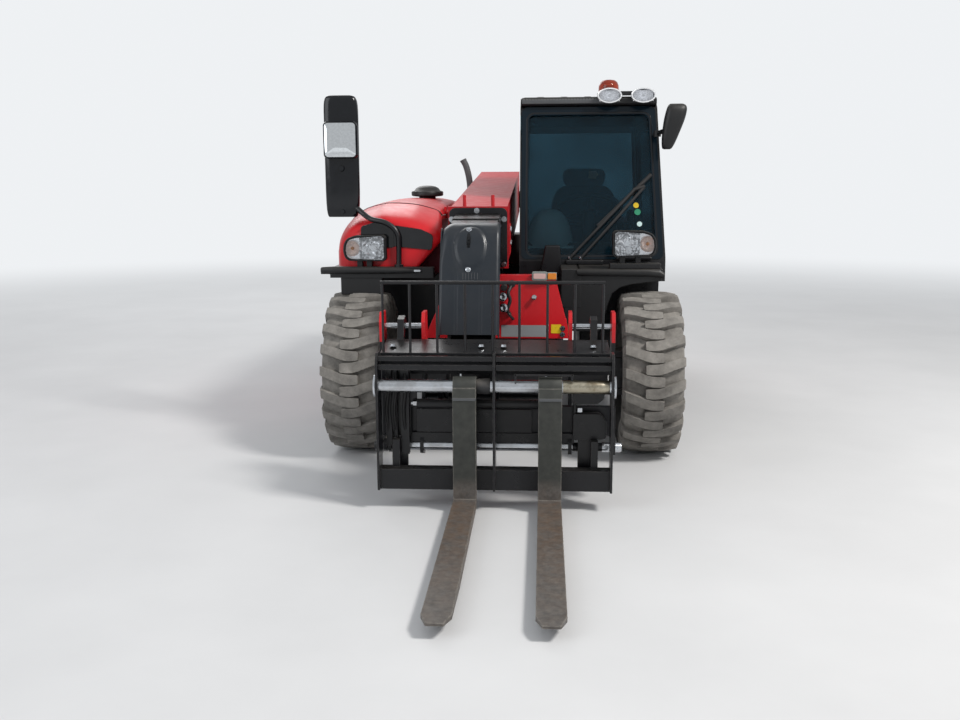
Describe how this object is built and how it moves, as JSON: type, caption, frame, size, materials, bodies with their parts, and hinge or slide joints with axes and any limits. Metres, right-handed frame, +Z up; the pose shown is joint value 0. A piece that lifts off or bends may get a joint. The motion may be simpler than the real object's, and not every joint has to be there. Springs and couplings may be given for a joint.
{
  "type": "compact telescopic handler",
  "caption": "Compact telescopic handler with an offset boom, side cab, floating fork carriage and steered wheels at both ends.",
  "frame": {"origin": "on the ground under the middle of the whole machine, fork tips to rear end", "axes": "+Z up, the machine faces -Y, +X is its left side with the cab"},
  "size_m": [1.91, 5.12, 1.98],
  "materials": {
    "red_paint": "gloss",
    "black_paint": "satin",
    "chassis_paint": "satin",
    "dark_plastic": "matt",
    "cover_plastic": "satin",
    "tyre_rubber": "matt",
    "rim_paint": "satin",
    "cast_axle": "satin",
    "engine_iron": "satin",
    "fork_steel": "worn",
    "bright_steel": "bright",
    "chrome_rod": "polished",
    "window_glass": "clear",
    "lamp_glass": "clear",
    "amber_lens": "clear",
    "red_lens": "clear",
    "seat_cover": "matt"
  },
  "bodies": {
    "chassis": {"chassis_frame": "chassis_paint", "front_panel": "red_paint", "boom_towers": "red_paint", "counterweight": "chassis_paint", "cab_shell": "black_paint", "cab_glass": "window_glass", "cab_roof": "dark_plastic", "seat": "seat_cover", "steering_column": "dark_plastic", "console": "dark_plastic", "side_tank": "chassis_paint", "hood_nose": "red_paint", "engine_bay": "red_paint", "engine_block": "engine_iron", "rear_body_right": "red_paint", "rear_body_left": "red_paint", "rear_deck": "chassis_paint", "tail_lights": "red_lens", "front_guard_right": "dark_plastic", "front_guard_left": "dark_plastic", "headlights": "lamp_glass", "work_lights": "lamp_glass", "beacon": "amber_lens", "mirror_right": "dark_plastic", "mirror_left": "dark_plastic", "front_axle": "cast_axle", "rear_axle": "cast_axle"},
    "boom": {"boom_outer": "red_paint"},
    "extension": {"boom_inner": "black_paint", "boom_head": "black_paint", "head_cover": "cover_plastic"},
    "coupler": {"coupler": "red_paint", "carriage_frame": "black_paint", "backrest": "black_paint", "fork_shaft": "bright_steel"},
    "fork_left": {"fork_left": "fork_steel"},
    "fork_right": {"fork_right": "fork_steel"},
    "lift_barrel": {"lift_barrel": "black_paint"},
    "lift_rod": {"lift_rod": "chrome_rod"},
    "cab_door": {"cab_door": "black_paint", "door_glass": "window_glass"},
    "hood": {"hood_lid": "red_paint", "air_intake": "dark_plastic"},
    "knuckle_front_left": {"knuckle_front_left": "cast_axle"},
    "wheel_front_left": {"tyre_front_left": "tyre_rubber", "rim_front_left": "rim_paint"},
    "knuckle_front_right": {"knuckle_front_right": "cast_axle"},
    "wheel_front_right": {"tyre_front_right": "tyre_rubber", "rim_front_right": "rim_paint"},
    "knuckle_rear_left": {"knuckle_rear_left": "cast_axle"},
    "wheel_rear_left": {"tyre_rear_left": "tyre_rubber", "rim_rear_left": "rim_paint"},
    "knuckle_rear_right": {"knuckle_rear_right": "cast_axle"},
    "wheel_rear_right": {"tyre_rear_right": "tyre_rubber", "rim_rear_right": "rim_paint"}
  },
  "joints": [
    {"name": "boom_lift", "type": "hinge", "parent": "chassis", "child": "boom", "pos_m": [-0.125, 2.06, 1.28], "axis": [-1, 0, 0], "range_deg": [0, 68]},
    {"name": "boom_extend", "type": "slide", "parent": "boom", "child": "extension", "axis": [0, -0.9966, -0.0819], "range_m": [0, 2]},
    {"name": "coupler_tilt", "type": "hinge", "parent": "extension", "child": "coupler", "pos_m": [-0.125, -1.01, 0.45], "axis": [1, 0, 0], "range_deg": [-13, 100]},
    {"name": "fork_left_float", "type": "hinge", "parent": "coupler", "child": "fork_left", "pos_m": [0.238, -1.31, 0.545], "axis": [-1, 0, 0], "range_deg": [0, 30]},
    {"name": "fork_right_float", "type": "hinge", "parent": "coupler", "child": "fork_right", "pos_m": [-0.125, -1.31, 0.545], "axis": [-1, 0, 0], "range_deg": [0, 30]},
    {"name": "lift_barrel_swing", "type": "hinge", "parent": "chassis", "child": "lift_barrel", "pos_m": [-0.125, 1.86, 0.45], "axis": [-1, 0, 0], "range_deg": [0, 43.95]},
    {"name": "lift_rod_slide", "type": "slide", "parent": "lift_barrel", "child": "lift_rod", "axis": [0, -0.8533, 0.5214], "range_m": [0, 0.7579]},
    {"name": "cab_door_hinge", "type": "hinge", "parent": "chassis", "child": "cab_door", "pos_m": [0.877, 1.205, 0.72], "axis": [0, 0, 1], "range_deg": [0, 90]},
    {"name": "hood_hinge", "type": "hinge", "parent": "chassis", "child": "hood", "pos_m": [-0.35, 0.815, 1.236], "axis": [0, 1, 0], "range_deg": [0, 55]},
    {"name": "steer_front_left", "type": "hinge", "parent": "chassis", "child": "knuckle_front_left", "pos_m": [0.61, -0.29, 0.42], "axis": [0, 0, 1], "range_deg": [-30, 30]},
    {"name": "wheel_front_left_spin", "type": "hinge", "parent": "knuckle_front_left", "child": "wheel_front_left", "pos_m": [0.7525, -0.29, 0.42], "axis": [1, 0, 0], "continuous": true},
    {"name": "steer_front_right", "type": "hinge", "parent": "chassis", "child": "knuckle_front_right", "pos_m": [-0.61, -0.29, 0.42], "axis": [0, 0, 1], "range_deg": [-30, 30]},
    {"name": "wheel_front_right_spin", "type": "hinge", "parent": "knuckle_front_right", "child": "wheel_front_right", "pos_m": [-0.7525, -0.29, 0.42], "axis": [1, 0, 0], "continuous": true},
    {"name": "steer_rear_left", "type": "hinge", "parent": "chassis", "child": "knuckle_rear_left", "pos_m": [0.61, 2.01, 0.42], "axis": [0, 0, 1], "range_deg": [-30, 30]},
    {"name": "wheel_rear_left_spin", "type": "hinge", "parent": "knuckle_rear_left", "child": "wheel_rear_left", "pos_m": [0.7525, 2.01, 0.42], "axis": [1, 0, 0], "continuous": true},
    {"name": "steer_rear_right", "type": "hinge", "parent": "chassis", "child": "knuckle_rear_right", "pos_m": [-0.61, 2.01, 0.42], "axis": [0, 0, 1], "range_deg": [-30, 30]},
    {"name": "wheel_rear_right_spin", "type": "hinge", "parent": "knuckle_rear_right", "child": "wheel_rear_right", "pos_m": [-0.7525, 2.01, 0.42], "axis": [1, 0, 0], "continuous": true}
  ],
  "couplings": [
    {"joint": "lift_barrel_swing", "follows": "boom_lift", "ratio": 0.63889},
    {"joint": "lift_rod_slide", "follows": "boom_lift", "m_per_rad": 0.63437},
    {"joint": "steer_front_right", "follows": "steer_front_left", "ratio": 1},
    {"joint": "steer_rear_right", "follows": "steer_rear_left", "ratio": 1}
  ]
}
